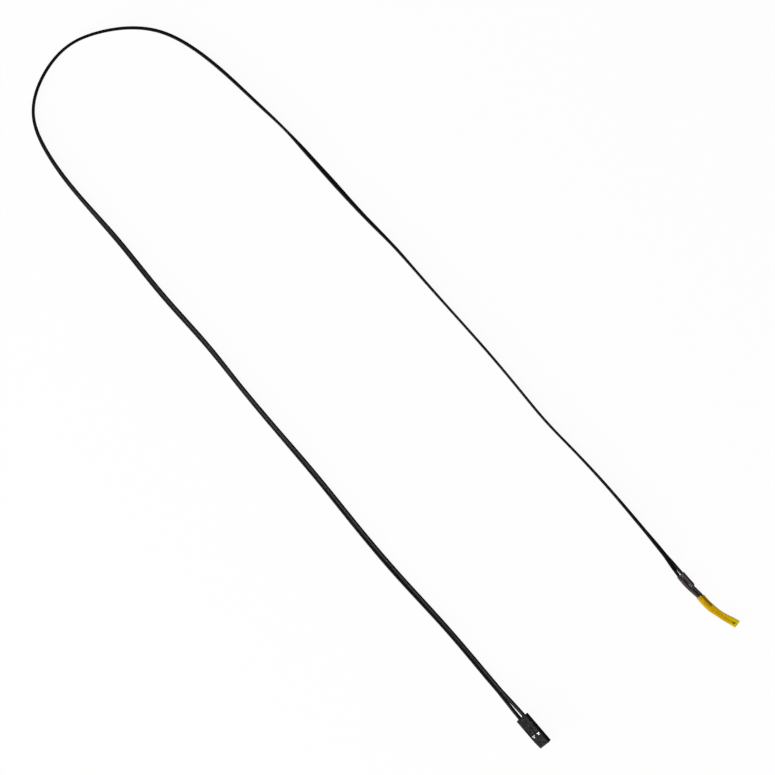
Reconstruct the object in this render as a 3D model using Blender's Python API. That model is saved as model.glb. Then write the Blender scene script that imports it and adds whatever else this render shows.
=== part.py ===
"""Thermistor temperature sensor on a twin lead with a two-way crimp connector.

A glass bead thermistor lies in a flattened amber film sleeve. Its two wires are
soldered to the cores of a twin lead under black shrink tubes, and the lead ends
in a connector for a two-pin header. Metres, +Z up. The sensor lies on the plane
z = 0, its sensing tip points along +X, and the lead makes a long U behind it.

Every piece of the sensing end, and the lead, is placed along one centreline. A
station is the distance along it from the open end of the sleeve. Offsets are
sideways, to the left of someone who walks from the tip to the connector.
"""

import math

import bmesh
import bpy
import numpy as np
from mathutils import Matrix, Vector

# Film sleeve around the bead
SLEEVE_LENGTH = 0.0187
SLEEVE_WIDTH = 0.0032
SLEEVE_WAIST_WIDTH = 0.0028
SLEEVE_TIP_WIDTH = 0.00326
SLEEVE_TIP_HEIGHT = 0.00075
SLEEVE_WALL = 0.00008
SLEEVE_FLARE_LENGTH = 0.0085
SLEEVE_TIP_SKEW = 0.00034
SLEEVE_REAR_SKEW = -0.00055

# Bead, chip and their wires
BEAD_DIAMETER = 0.0010
BEAD_LENGTH = 0.0013
BEAD_INSET = 0.0016
BEAD_OFFSET = 0.00028
CHIP_LENGTH = 0.00046
CHIP_HEIGHT = 0.00040
CHIP_THICKNESS = 0.00018
WIRE_PAST_CHIP = 0.00005
SENSOR_WIRE_DIAMETER = 0.00025

# Tube that keeps the right-hand wire clear of the other one
WIRE_TUBE_DIAMETER = 0.0010
WIRE_TUBE_WALL = 0.00018
WIRE_TUBE_IN_SLEEVE = 0.0060
WIRE_TUBE_IN_SHRINK = 0.0008

# Solder joints, set one behind the other
SOLDER_DIAMETER = 0.00108
SOLDER_LENGTH = 0.0031
SOLDER_END_SHARE = 0.92
SOLDER_BORE_SHARE = 0.70
SOLDER_CONDUCTOR_OFFSET = -0.00020
SOLDER_WIRE_OFFSET = 0.00027
STRIPPED_GAP = 0.0008
LEFT_SOLDER_FROM_END = 0.0007

# Shrink tubes over the joints
SHRINK_WALL = 0.00030
LEFT_SHRINK_LENGTH = 0.0113
RIGHT_SHRINK_LENGTH = 0.0068
LEFT_FRONT_LANE = 0.00055
SHRINK_TO_SLEEVE = 0.00008
SHRINK_SLANT_LENGTH = 0.0020
SHRINK_END_ROUNDING = 0.00012

# Twin lead
CORE_DIAMETER = 0.00105
CORE_SPACING = 0.00160
CONDUCTOR_DIAMETER = 0.00048
STRAND_LOBES = 6
STRAND_GROOVE = 0.10
STRAND_LAY = 0.0060
SENSOR_FORK_LENGTH = 0.0034
CONNECTOR_FORK_LENGTH = 0.0140
SENSOR_RISE_LENGTH = 0.010
CONNECTOR_RISE_LENGTH = 0.030

# Connector housing, moulded in one with its two latches
CONTACTS = 2
PITCH = 0.00254
HOUSING_LENGTH = 0.0142
HOUSING_HEIGHT = 0.00254
HOUSING_ROLL = math.radians(28)
HOUSING_EDGE = 0.00008
FRONT_WALL = 0.0010
PIN_HOLE = 0.00095
PIN_HOLE_CHAMFER = 0.00022
LATCH_ROOT = 0.0046
LATCH_WIDTH = 0.00115
LATCH_SIDE_SLOT = 0.00022
LATCH_END_SLOT = 0.00022
WINDOW_WIDTH = 0.0008
WINDOW_LENGTH = 0.0010
LATCH_FIELD_DEPTH = 0.00010
LATCH_FIELD_MARGIN = 0.00015
SIDE_TAPER_LENGTH = 0.0034
SIDE_TAPER_DEPTH = 0.00030

# Crimp terminals, each folded from one strip
STRIP_THICKNESS = 0.00018
TERMINAL_BOX = 0.00180
TERMINAL_BOX_LENGTH = 0.0045
TERMINAL_SEAM = 0.00012
INSULATION_CRIMP_START = 0.0010
INSULATION_CRIMP_LENGTH = 0.0023
CONDUCTOR_CRIMP_START = 0.0038
CONDUCTOR_CRIMP_LENGTH = 0.0018
CRIMP_RAMP = 0.00030
CRIMP_OPENING = 10
CRIMP_MOUTH_OPENING = 62
CHANNEL_HEIGHT = 0.00070
CHANNEL_REAR_SHARE = 0.8
PIN_WIDTH = 0.00064
SPRING_SQUEEZE = 0.00004
SPRING_HEIGHT = 0.00056
CORE_INSERT = 0.0030
CONDUCTOR_INSERT = 0.0057

# Clearances between pieces
FIT = 0.00003
SEAT = 0.00002
CAVITY_PLAY = 0.00007
LATCH_PLAY = 0.00012

# Mesh fineness
TUBE_SIDES = 20
WIRE_SIDES = 8
STATION_STEP = 0.0009
SPLINE_STEPS = 60
CORD_END_STEP = 0.0016
CORD_POINTS_BETWEEN = 56
POINTS_PER_STRAND = 3
STRIP_STEPS = 12

# Centreline of the sensing end, from the open tip back to the lead
SENSOR_LINE = (
    (0.01508, 0.00086),
    (0.01263, 0.00039),
    (0.01041, -0.00012),
    (0.00772, -0.00060),
    (0.00491, -0.00092),
    (0.00220, -0.00105),
    (-0.00050, -0.00088),
    (-0.00322, -0.00054),
    (-0.00700, -0.00010),
    (-0.01122, 0.00030),
)

# Route of the lead after that: x, y and how far it is rolled on its side, in degrees
LEAD_ROUTE = (
    (-0.0152, 0.0009, 0),
    (-0.0255, 0.0028, 60),
    (-0.0393, 0.0051, 75),
    (-0.0600, 0.0082, 83),
    (-0.0809, 0.0104, 88),
    (-0.0949, 0.0117, 90),
    (-0.1087, 0.0139, 90),
    (-0.1294, 0.0172, 87),
    (-0.1503, 0.0199, 88),
    (-0.1711, 0.0226, 85),
    (-0.1850, 0.0244, 79),
    (-0.1990, 0.0255, 69),
    (-0.2198, 0.0278, 53),
    (-0.2337, 0.0295, 63),
    (-0.2477, 0.0310, 85),
    (-0.2617, 0.0316, 77),
    (-0.2826, 0.0322, 72),
    (-0.2966, 0.0313, 73),
    (-0.3102, 0.0276, 74),
    (-0.3215, 0.0194, 76),
    (-0.3278, 0.0117, 77),
    (-0.3328, 0.0020, 78),
    (-0.3333, -0.0146, 74),
    (-0.3255, -0.0301, 77),
    (-0.3134, -0.0368, 68),
    (-0.2930, -0.0417, 60),
    (-0.2692, -0.0450, 43),
    (-0.2406, -0.0499, 40),
    (-0.2139, -0.0534, 43),
    (-0.1961, -0.0566, 50),
    (-0.1754, -0.0600, 42),
    (-0.1477, -0.0642, 28),
    (-0.1241, -0.0684, 21),
    (-0.0994, -0.0722, 9),
    (-0.0686, -0.0758, 25),
    (-0.0439, -0.0796, 12),
    (-0.0331, -0.0812, 24),
    (-0.02531, -0.08235, 28),
)

# Sizes that follow from the ones above
SLEEVE_HEIGHT = max(BEAD_DIAMETER, WIRE_TUBE_DIAMETER) + 2 * (SLEEVE_WALL + FIT)
SLEEVE_MIDDLE = SLEEVE_HEIGHT / 2
SLEEVE_PRESSED_LENGTH = BEAD_INSET - BEAD_LENGTH / 2
SHRINK_BORE = max(SOLDER_DIAMETER, CORE_DIAMETER, WIRE_TUBE_DIAMETER) + 2 * FIT
SHRINK_DIAMETER = SHRINK_BORE + 2 * SHRINK_WALL
SHRINK_MIDDLE = SHRINK_DIAMETER / 2
LANE = SHRINK_DIAMETER / 2 + FIT
SLEEVE_REAR_SLANT = -SLEEVE_REAR_SKEW / (SLEEVE_WIDTH / 2)
LEFT_SHRINK_FRONT = SLEEVE_LENGTH + SHRINK_TO_SLEEVE + SLEEVE_REAR_SLANT * LEFT_FRONT_LANE
SHRINK_REAR = LEFT_SHRINK_FRONT + LEFT_SHRINK_LENGTH
RIGHT_SHRINK_FRONT = SHRINK_REAR - RIGHT_SHRINK_LENGTH
WIRE_TUBE_FRONT = SLEEVE_LENGTH - WIRE_TUBE_IN_SLEEVE
WIRE_TUBE_REAR = RIGHT_SHRINK_FRONT + WIRE_TUBE_IN_SHRINK
LEFT_SOLDER_FRONT = LEFT_SHRINK_FRONT + LEFT_SOLDER_FROM_END
RIGHT_SOLDER_FRONT = WIRE_TUBE_REAR + 2 * FIT
WIRE_SPREAD = (CHIP_THICKNESS + SENSOR_WIRE_DIAMETER) / 2 + SEAT
WIRE_END_STATION = BEAD_INSET - CHIP_LENGTH / 2 - WIRE_PAST_CHIP
HOUSING_WIDTH = CONTACTS * PITCH
CAVITY = TERMINAL_BOX + 2 * CAVITY_PLAY
BOX_FRONT = HOUSING_LENGTH - FRONT_WALL - SEAT
BOX_REAR = BOX_FRONT - TERMINAL_BOX_LENGTH
LATCH_TIP = BOX_REAR - LATCH_PLAY
HOUSING_CENTRE_HEIGHT = (
    HOUSING_WIDTH / 2 * math.sin(HOUSING_ROLL) + HOUSING_HEIGHT / 2 * math.cos(HOUSING_ROLL)
)

BLACK_PLASTIC = ("black_housing", (0.018, 0.017, 0.018), 0.45, 0.0)
BLACK_LEAD = ("black_lead", (0.012, 0.012, 0.013), 0.5, 0.0)
BLACK_SHRINK = ("black_shrink", (0.020, 0.016, 0.016), 0.4, 0.0)
AMBER_FILM = ("amber_film", (0.68, 0.40, 0.01), 0.25, 0.0)
BEAD_GLASS = ("bead_glass", (0.10, 0.05, 0.015), 0.15, 0.0)
CHIP_CERAMIC = ("chip_ceramic", (0.05, 0.045, 0.04), 0.6, 0.0)
TINNED_METAL = ("tinned_metal", (0.75, 0.74, 0.72), 0.3, 1.0)
COPPER = ("copper", (0.72, 0.38, 0.22), 0.3, 1.0)
SOLDER = ("solder", (0.62, 0.62, 0.63), 0.35, 1.0)


def clear_scene():
    for obj in list(bpy.data.objects):
        bpy.data.objects.remove(obj, do_unlink=True)


def material(spec):
    name, colour, roughness, metallic = spec
    made = bpy.data.materials.get(name)
    if made is None:
        made = bpy.data.materials.new(name)
        made.use_nodes = True
        shader = made.node_tree.nodes["Principled BSDF"]
        shader.inputs["Base Color"].default_value = (*colour, 1.0)
        shader.inputs["Roughness"].default_value = roughness
        shader.inputs["Metallic"].default_value = metallic
        made.diffuse_color = (*colour, 1.0)
    return made


def link(name, data, spec, parent=None):
    obj = bpy.data.objects.new(name, data)
    bpy.context.collection.objects.link(obj)
    if spec is not None:
        data.materials.append(material(spec))
    obj.parent = parent
    return obj


def ease(value):
    """Smooth step from 0 to 1."""
    t = min(max(value, 0.0), 1.0)
    return t * t * (3 - 2 * t)


def ease_between(keys, place):
    """Value at a place among (place, value) keys, eased from each key to the next."""
    if place <= keys[0][0]:
        return keys[0][1]
    for (start, low), (end, high) in zip(keys, keys[1:]):
        if place <= end:
            return low + (high - low) * ease((place - start) / (end - start))
    return keys[-1][1]


def natural_spline(points, steps):
    """Points on a natural cubic curve through the given ones, with steps to each span."""
    knots = np.array(points, float)
    count = len(knots)
    spans = np.linalg.norm(np.diff(knots, axis=0), axis=1)
    matrix = np.eye(count)
    right = np.zeros_like(knots)
    slopes = np.diff(knots, axis=0) / spans[:, None]
    for i in range(1, count - 1):
        matrix[i, i - 1:i + 2] = spans[i - 1], 2 * (spans[i - 1] + spans[i]), spans[i]
        right[i] = 6 * (slopes[i] - slopes[i - 1])
    bends = np.linalg.solve(matrix, right)
    curve = [knots[0]]
    for i in range(count - 1):
        for step in range(1, steps + 1):
            t = step / steps
            u = 1 - t
            sag = (u ** 3 - u) * bends[i] + (t ** 3 - t) * bends[i + 1]
            curve.append(u * knots[i] + t * knots[i + 1] + spans[i] ** 2 / 6 * sag)
    return np.array(curve)


CURVE = natural_spline(SENSOR_LINE + tuple(p[:2] for p in LEAD_ROUTE), SPLINE_STEPS)
STATIONS = np.concatenate(([0.0], np.cumsum(np.linalg.norm(np.diff(CURVE, axis=0), axis=1))))
HEADINGS = np.unwrap(np.arctan2(*np.gradient(CURVE, axis=0).T[::-1]))
LEAD_END = STATIONS[-1]
KNOT_STATIONS = STATIONS[::SPLINE_STEPS]
ROLL_KEYS = [
    (station, math.radians(point[2]))
    for station, point in zip(KNOT_STATIONS[len(SENSOR_LINE):], LEAD_ROUTE)
]


def on_line(station, offset=0.0, height=0.0):
    """World point at a station, an offset to the left and a height."""
    x = np.interp(station, STATIONS, CURVE[:, 0])
    y = np.interp(station, STATIONS, CURVE[:, 1])
    heading = np.interp(station, STATIONS, HEADINGS)
    return Vector((x - offset * math.sin(heading), y + offset * math.cos(heading), height))


def stations_between(start, end, step):
    count = max(2, math.ceil((end - start) / step) + 1)
    return [start + (end - start) * i / (count - 1) for i in range(count)]


def circle(radius, sides):
    angles = [2 * math.pi * i / sides for i in range(sides)]
    return [(radius * math.cos(a), radius * math.sin(a)) for a in angles]


def flattened(width, height, middle, sides):
    """Section of a pressed tube, round at its sides. Sides is a multiple of four."""
    straight = (width - height) / 2
    radius = height / 2 / math.cos(math.pi / sides)
    points = []
    for i in range(sides):
        angle = 2 * math.pi * (i + 0.5) / sides
        shift = math.copysign(straight, math.cos(angle))
        points.append((shift + radius * math.cos(angle), middle + radius * math.sin(angle)))
    return points


def ring_at(station, section, offset=0.0, height=0.0, skew=0.0):
    """A section set across the centreline. Skew slants it, by so much at its edges."""
    widest = max(abs(p[0]) for p in section)
    return [on_line(station + skew * p[0] / widest, offset + p[0], height + p[1]) for p in section]


def skin(rings, loop=False, strip=False):
    """Mesh through a row of rings: capped, closed from last to first, or an open strip."""
    mesh = bmesh.new()
    rows = [[mesh.verts.new(point) for point in ring] for ring in rings]
    pairs = list(zip(rows, rows[1:]))
    if loop:
        pairs.append((rows[-1], rows[0]))
    around = len(rows[0]) - 1 if strip else len(rows[0])
    for low, high in pairs:
        for i in range(around):
            j = (i + 1) % len(low)
            mesh.faces.new((low[i], low[j], high[j], high[i]))
    if not (loop or strip):
        mesh.faces.new(reversed(rows[0]))
        mesh.faces.new(rows[-1])
    bmesh.ops.recalc_face_normals(mesh, faces=mesh.faces)
    return mesh


def add(name, mesh, spec, parent=None, sharp_angle=40):
    data = bpy.data.meshes.new(name)
    mesh.to_mesh(data)
    mesh.free()
    data.shade_smooth()
    data.set_sharp_from_angle(angle=math.radians(sharp_angle))
    return link(name, data, spec, parent)


def cut(target, name, mesh, parent=None):
    """Take a cutter's shape out of a piece."""
    data = bpy.data.meshes.new(name)
    mesh.to_mesh(data)
    mesh.free()
    cutter = link(name, data, None, parent)
    cutter.hide_render = True
    cutter.display_type = "WIRE"
    modifier = target.modifiers.new(name, "BOOLEAN")
    modifier.operation = "DIFFERENCE"
    modifier.solver = "EXACT"
    modifier.object = cutter


def shell(outer, inner):
    """Tube wall between outer rings and inner rings."""
    return skin(outer + inner[::-1], loop=True)


def sleeve_width(station):
    """Width of the sleeve: flared at the tip, and wide again from where the wire tube lies in it."""
    keys = ((0.0, SLEEVE_TIP_WIDTH), (SLEEVE_FLARE_LENGTH, SLEEVE_WAIST_WIDTH),
            (WIRE_TUBE_FRONT, SLEEVE_WIDTH))
    return ease_between(keys, station)


def sleeve_height(station):
    return ease_between(((0.0, SLEEVE_TIP_HEIGHT), (SLEEVE_PRESSED_LENGTH, SLEEVE_HEIGHT)), station)


def make_sleeve():
    """Pressed film tube, open at the tip, cut at a slant at both ends."""
    skews = ((0.0, SLEEVE_TIP_SKEW), (SLEEVE_PRESSED_LENGTH, 0.0),
             (SLEEVE_LENGTH - SLEEVE_PRESSED_LENGTH, 0.0), (SLEEVE_LENGTH, -SLEEVE_REAR_SKEW))
    outer = []
    inner = []
    for station in stations_between(0.0, SLEEVE_LENGTH, STATION_STEP):
        width = sleeve_width(station)
        height = sleeve_height(station)
        skew = ease_between(skews, station)
        wide = flattened(width, height, height / 2, TUBE_SIDES)
        hollow = flattened(width - 2 * SLEEVE_WALL, height - 2 * SLEEVE_WALL, height / 2,
                           TUBE_SIDES)
        outer.append(ring_at(station, wide, skew=skew))
        inner.append(ring_at(station, hollow, skew=skew))
    add("film_sleeve", shell(outer, inner), AMBER_FILM)


def joint_lane(side, station):
    """Offset of a joint and its shrink tube. The left ones lean to the sleeve's middle in front."""
    if side < 0:
        return -LANE
    keys = ((LEFT_SHRINK_FRONT, LEFT_FRONT_LANE), (RIGHT_SHRINK_FRONT, LANE))
    return ease_between(keys, station)


def tube_lane(station):
    """Offset and height of the wire tube: in the sleeve's right side, then against the left
    shrink tube, then in the right one."""
    leave = SLEEVE_LENGTH + SLEEVE_REAR_SKEW
    between = (LEFT_SHRINK_FRONT + RIGHT_SHRINK_FRONT) / 2
    against = joint_lane(1, station) - SHRINK_DIAMETER / 2 - FIT - WIRE_TUBE_DIAMETER / 2
    share = ease_between(((leave, 0.0), (LEFT_SHRINK_FRONT, 1.0), (between, 1.0),
                          (RIGHT_SHRINK_FRONT, 0.0)), station)
    free = (SLEEVE_HEIGHT - SLEEVE_WIDTH) / 2 if station < between else -LANE
    heights = ((leave, SLEEVE_MIDDLE), (RIGHT_SHRINK_FRONT, SHRINK_MIDDLE))
    return free + (against - free) * share, ease_between(heights, station)


def right_wire_lane(station):
    """Offset and height of the wire that runs in the wire tube."""
    if station >= WIRE_TUBE_FRONT:
        offset, height = tube_lane(station)
        turn = ease((station - WIRE_TUBE_REAR) / (RIGHT_SOLDER_FRONT - WIRE_TUBE_REAR))
        return offset + SOLDER_WIRE_OFFSET * turn, height
    start = BEAD_OFFSET - WIRE_SPREAD
    keys = ((BEAD_INSET + BEAD_LENGTH, start), (WIRE_TUBE_FRONT, tube_lane(WIRE_TUBE_FRONT)[0]))
    return ease_between(keys, station), SLEEVE_MIDDLE


def left_wire_lane(station):
    """Offset and height of the bare wire, which goes into the left shrink tube."""
    start = BEAD_OFFSET + WIRE_SPREAD
    middle = SLEEVE_LENGTH - WIRE_TUBE_IN_SLEEVE
    keys = ((BEAD_INSET + BEAD_LENGTH, start), (middle, start / 2), (SLEEVE_LENGTH, start),
            (LEFT_SOLDER_FRONT, LEFT_FRONT_LANE + SOLDER_WIRE_OFFSET))
    heights = ((SLEEVE_LENGTH + SLEEVE_REAR_SKEW, SLEEVE_MIDDLE), (LEFT_SOLDER_FRONT, SHRINK_MIDDLE))
    lean = joint_lane(1, station) - LEFT_FRONT_LANE
    return ease_between(keys, station) + lean, ease_between(heights, station)


def wire_rings(lane, start, end, diameter):
    section = circle(diameter / 2, WIRE_SIDES)
    rings = []
    for station in stations_between(start, end, STATION_STEP / 2):
        offset, height = lane(station)
        rings.append(ring_at(station, section, offset, height))
    return rings


def make_sensor_wires():
    ends = {
        "sensor_wire_right": (right_wire_lane, RIGHT_SOLDER_FRONT),
        "sensor_wire_left": (left_wire_lane, LEFT_SOLDER_FRONT),
    }
    for name, (lane, solder_front) in ends.items():
        end = solder_front + SOLDER_LENGTH * SOLDER_BORE_SHARE
        add(name, skin(wire_rings(lane, WIRE_END_STATION, end, SENSOR_WIRE_DIAMETER)), TINNED_METAL)


def chip_mesh(grow):
    """Chip between the wires, or with grow, the pocket for it."""
    half = CHIP_THICKNESS / 2 + grow
    tall = CHIP_HEIGHT / 2 + grow
    section = [(-half, -tall), (half, -tall), (half, tall), (-half, tall)]
    ends = (BEAD_INSET - CHIP_LENGTH / 2 - grow, BEAD_INSET + CHIP_LENGTH / 2 + grow)
    return skin([ring_at(end, section, BEAD_OFFSET, SLEEVE_MIDDLE) for end in ends])


def make_bead():
    """Glass drop around the chip and the ends of both wires."""
    rings = []
    turns = TUBE_SIDES // 2
    for i in range(1, turns):
        angle = math.pi * i / turns
        section = circle(BEAD_DIAMETER / 2 * math.sin(angle), TUBE_SIDES)
        station = BEAD_INSET - BEAD_LENGTH / 2 * math.cos(angle)
        rings.append(ring_at(station, section, BEAD_OFFSET, SLEEVE_MIDDLE))
    bead = add("bead_glass", skin(rings), BEAD_GLASS)
    add("thermistor_chip", chip_mesh(0.0), CHIP_CERAMIC)
    cut(bead, "chip_pocket", chip_mesh(SEAT))
    for name, lane in (("right_wire_way", right_wire_lane), ("left_wire_way", left_wire_lane)):
        ways = wire_rings(lane, WIRE_END_STATION - SEAT, BEAD_INSET + BEAD_LENGTH,
                          SENSOR_WIRE_DIAMETER + 2 * SEAT)
        cut(bead, name, skin(ways))


def make_wire_tube():
    outer = wire_rings(tube_lane, WIRE_TUBE_FRONT, WIRE_TUBE_REAR, WIRE_TUBE_DIAMETER)
    inner = wire_rings(tube_lane, WIRE_TUBE_FRONT, WIRE_TUBE_REAR,
                       WIRE_TUBE_DIAMETER - 2 * WIRE_TUBE_WALL)
    add("wire_tube", shell(outer, inner), BLACK_SHRINK)


def conductor_section(turn):
    """Bundle of strands as one outline with a lobe for each outer strand."""
    points = []
    sides = STRAND_LOBES * POINTS_PER_STRAND
    for i in range(sides):
        angle = 2 * math.pi * i / sides
        radius = CONDUCTOR_DIAMETER / 2 * (1 - STRAND_GROOVE * (i % POINTS_PER_STRAND == 0))
        points.append((radius * math.cos(angle + turn), radius * math.sin(angle + turn)))
    return points


def make_splice(side_name, side, solder_front):
    """Solder joint, the stripped conductor in it, and the ways for conductor and wire."""
    solder_rear = solder_front + SOLDER_LENGTH
    bore_length = SOLDER_LENGTH * SOLDER_BORE_SHARE
    rings = []
    for station in stations_between(solder_front, solder_rear, STATION_STEP / 2):
        place = 2 * (station - solder_front) / SOLDER_LENGTH - 1
        radius = SOLDER_DIAMETER / 2 * (1 - (1 - SOLDER_END_SHARE) * place ** 2)
        lane = joint_lane(side, station)
        rings.append(ring_at(station, circle(radius, TUBE_SIDES), lane, SHRINK_MIDDLE))
    joint = add("solder_joint_" + side_name, skin(rings), SOLDER)

    core_end = solder_rear + STRIPPED_GAP
    shifts = ((solder_rear, SOLDER_CONDUCTOR_OFFSET), (core_end, 0.0))
    strands = []
    for station in stations_between(solder_rear - bore_length, core_end - FIT, STATION_STEP / 2):
        section = conductor_section(2 * math.pi * station / STRAND_LAY)
        offset = joint_lane(side, station) + ease_between(shifts, station)
        strands.append(ring_at(station, section, offset, SHRINK_MIDDLE))
    add("splice_conductor_" + side_name, skin(strands), COPPER)

    way = circle(CONDUCTOR_DIAMETER / 2 + SEAT, WIRE_SIDES * 2)
    ends = (solder_rear - bore_length - SEAT, solder_rear + SEAT)
    conductor_way = [
        ring_at(station, way, joint_lane(side, station) + SOLDER_CONDUCTOR_OFFSET, SHRINK_MIDDLE)
        for station in stations_between(*ends, STATION_STEP / 2)
    ]
    cut(joint, "conductor_way_" + side_name, skin(conductor_way))
    lane = left_wire_lane if side > 0 else right_wire_lane
    wire_way = wire_rings(lane, solder_front - SEAT, solder_front + bore_length + SEAT,
                          SENSOR_WIRE_DIAMETER + 2 * SEAT)
    cut(joint, "wire_way_" + side_name, skin(wire_way))
    return core_end


def make_shrink_tube(side_name, side, front):
    """Shrunk tube over one joint, its ends rounded. The left one is cut slanted as the sleeve is."""
    outer = []
    inner = []
    ends = (front + SHRINK_END_ROUNDING, SHRINK_REAR - SHRINK_END_ROUNDING)
    stations = [front, *stations_between(*ends, STATION_STEP), SHRINK_REAR]
    for station in stations:
        at_end = station in (front, SHRINK_REAR)
        radius = SHRINK_DIAMETER / 2 - (SHRINK_END_ROUNDING if at_end else 0.0)
        slants = ((front, SLEEVE_REAR_SLANT), (front + SHRINK_SLANT_LENGTH, 0.0))
        slant = ease_between(slants, station) if side > 0 else 0.0
        for rings, size in ((outer, radius), (inner, SHRINK_BORE / 2)):
            lane = joint_lane(side, station)
            rings.append(ring_at(station, circle(size, TUBE_SIDES), lane, SHRINK_MIDDLE, slant * size))
    add("shrink_tube_" + side_name, shell(outer, inner), BLACK_SHRINK)


def make_connector_frame():
    """Empty at the back face of the housing, X along the mating direction."""
    frame = bpy.data.objects.new("connector_frame", None)
    bpy.context.collection.objects.link(frame)
    frame.location = on_line(LEAD_END, 0.0, HOUSING_CENTRE_HEIGHT)
    frame.rotation_euler = (HOUSING_ROLL, 0.0, HEADINGS[-1])
    return frame


def contact_offsets():
    middle = (CONTACTS - 1) / 2
    return [(middle - i) * PITCH for i in range(CONTACTS)]


def box_mesh(low, high):
    size = [b - a for a, b in zip(low, high)]
    centre = [(a + b) / 2 for a, b in zip(low, high)]
    mesh = bmesh.new()
    shape = Matrix.Translation(centre) @ Matrix.Diagonal((*size, 1.0))
    bmesh.ops.create_cube(mesh, size=1.0, matrix=shape)
    return mesh


def prism(outline, low, high):
    """Outline in the connector's X and Y, extruded from one height to another."""
    return skin([[(x, y, z) for x, y in outline] for z in (low, high)])


def make_housing(frame):
    half_width = HOUSING_WIDTH / 2
    half_height = HOUSING_HEIGHT / 2
    outline = (
        (0.0, -half_width),
        (HOUSING_LENGTH - SIDE_TAPER_LENGTH, -half_width),
        (HOUSING_LENGTH, -half_width + SIDE_TAPER_DEPTH),
        (HOUSING_LENGTH, half_width),
        (0.0, half_width),
    )
    housing = add("connector_housing", prism(outline, -half_height, half_height),
                  BLACK_PLASTIC, frame)
    rounding = housing.modifiers.new("rounded_edges", "BEVEL")
    rounding.width = HOUSING_EDGE
    rounding.segments = 1
    rounding.limit_method = "ANGLE"
    cut(housing, "latch_field", latch_field(), frame)
    for number, offset in enumerate(contact_offsets(), start=1):
        half = CAVITY / 2
        cavity_front = HOUSING_LENGTH - FRONT_WALL
        cavity = box_mesh((-half, offset - half, -half), (cavity_front, offset + half, half))
        cut(housing, f"cavity_{number}", cavity, frame)
        cut(housing, f"pin_entry_{number}", pin_entry(offset), frame)
        outline = [(x, offset + y) for x, y in latch_slot()]
        cut(housing, f"latch_slot_{number}", prism(outline, 0.0, HOUSING_HEIGHT), frame)


def latch_slot():
    """Outline of the slot around a latch and of the window in front of its tip."""
    latch_half = LATCH_WIDTH / 2
    slot_half = latch_half + LATCH_SIDE_SLOT
    window_half = WINDOW_WIDTH / 2
    slot_front = LATCH_TIP + LATCH_END_SLOT
    side = (
        (LATCH_TIP, latch_half),
        (LATCH_ROOT, latch_half),
        (LATCH_ROOT, slot_half),
        (slot_front, slot_half),
        (slot_front, window_half),
        (LATCH_TIP + WINDOW_LENGTH, window_half),
    )
    return list(side) + [(x, -y) for x, y in reversed(side)]


def latch_field():
    """Shallow recess around all the latches and their windows."""
    half = contact_offsets()[0] + LATCH_WIDTH / 2 + LATCH_SIDE_SLOT + LATCH_FIELD_MARGIN
    floor = HOUSING_HEIGHT / 2 - LATCH_FIELD_DEPTH
    low = (LATCH_ROOT - LATCH_FIELD_MARGIN, -half, floor)
    return box_mesh(low, (LATCH_TIP + WINDOW_LENGTH + LATCH_FIELD_MARGIN, half, HOUSING_HEIGHT))


def pin_entry(offset):
    """Square pin hole with a wider mouth at the mating face."""
    places = (
        (HOUSING_LENGTH - 2 * FRONT_WALL, PIN_HOLE),
        (HOUSING_LENGTH - PIN_HOLE_CHAMFER, PIN_HOLE),
        (HOUSING_LENGTH + PIN_HOLE_CHAMFER, PIN_HOLE + 4 * PIN_HOLE_CHAMFER),
    )
    rings = []
    for x, width in places:
        half = width / 2
        corners = ((-half, -half), (half, -half), (half, half), (-half, half))
        rings.append([(x, offset + y, z) for y, z in corners])
    return skin(rings)


def barrel(radius, opening):
    """Strip wrapped nearly round, its edges meeting on top. Opening is half the gap, in degrees."""
    start = 90 + opening
    sweep = 360 - 2 * opening
    angles = [math.radians(start + sweep * i / STRIP_STEPS) for i in range(STRIP_STEPS + 1)]
    return [(radius * math.cos(a), radius * math.sin(a)) for a in angles]


def channel(half_width, floor, height):
    """Strip folded to an open channel, with as many points as a barrel."""
    wall = STRIP_STEPS // 3
    left = [(-half_width, floor + height * (1 - i / wall)) for i in range(wall)]
    bottom = [(half_width * (2 * i / wall - 1), floor) for i in range(wall + 1)]
    return left + bottom + [(-y, z) for y, z in reversed(left)]


def contact_box(half, waist):
    """Strip folded to a square box with a seam on top and its sides drawn in to a waist."""
    seam = TERMINAL_SEAM / 2
    spring = SPRING_HEIGHT / 2
    left = [(-seam, half), (-(seam + half) / 2, half), (-half, half), (-waist, spring),
            (-waist, -spring), (-half, -half)]
    return left + [(0.0, -half)] + [(-y, z) for y, z in reversed(left)]


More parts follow.
